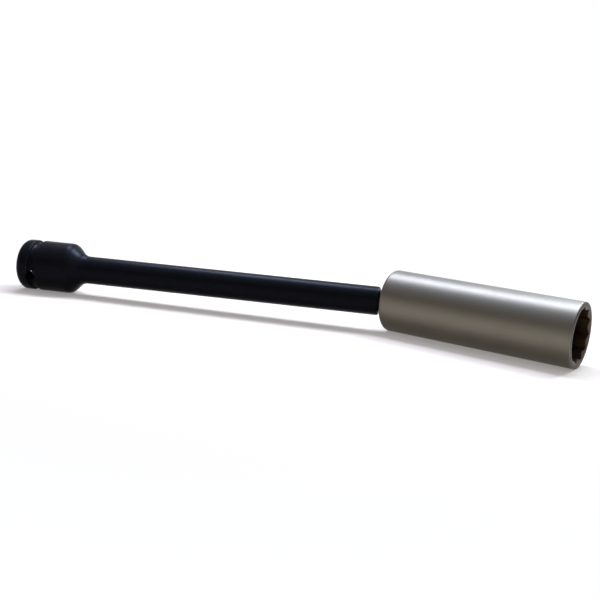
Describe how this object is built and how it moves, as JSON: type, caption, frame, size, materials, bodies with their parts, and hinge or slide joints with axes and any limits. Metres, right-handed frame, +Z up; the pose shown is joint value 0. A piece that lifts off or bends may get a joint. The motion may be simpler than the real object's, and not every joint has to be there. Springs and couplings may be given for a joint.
{
  "type": "swivel lug wrench",
  "caption": "Black square-drive bar with a satin silver deep lug socket that swivels on a ball and pin at its end, for turning wheel nuts at an angle.",
  "frame": {"origin": "middle of the tool's bounding box on the floor, with the tool lying down and the swivel bent as pictured", "axes": "+X along the socket towards its open lug end, +Y away from the bar's drive head, +Z up from the floor"},
  "size_m": [0.2696, 0.1059, 0.03],
  "materials": {
    "black_steel": "black phosphate, satin",
    "satin_steel": "satin nickel plate",
    "hard_steel": "ground, oiled",
    "spring_steel": "drawn, oiled"
  },
  "bodies": {
    "bar": {"drive_bar": "black_steel"},
    "pin": {"drive_pin": "hard_steel"},
    "lug_socket": {"socket": "satin_steel", "retaining_ring": "spring_steel", "spring_seat": "hard_steel", "friction_spring": "spring_steel"}
  },
  "joints": [
    {"name": "swing_about_pin", "type": "hinge", "parent": "bar", "child": "pin", "pos_m": [0.05727, 0.03796, 0.015], "axis": [-0.2848, 0.6473, 0.7071], "range_deg": [-0.32, 33.07]},
    {"name": "rock_along_grooves", "type": "hinge", "parent": "pin", "child": "lug_socket", "pos_m": [0.05727, 0.03796, 0.015], "axis": [0, 0.7376, -0.6752], "range_deg": [-33.24, 0.15]}
  ]
}
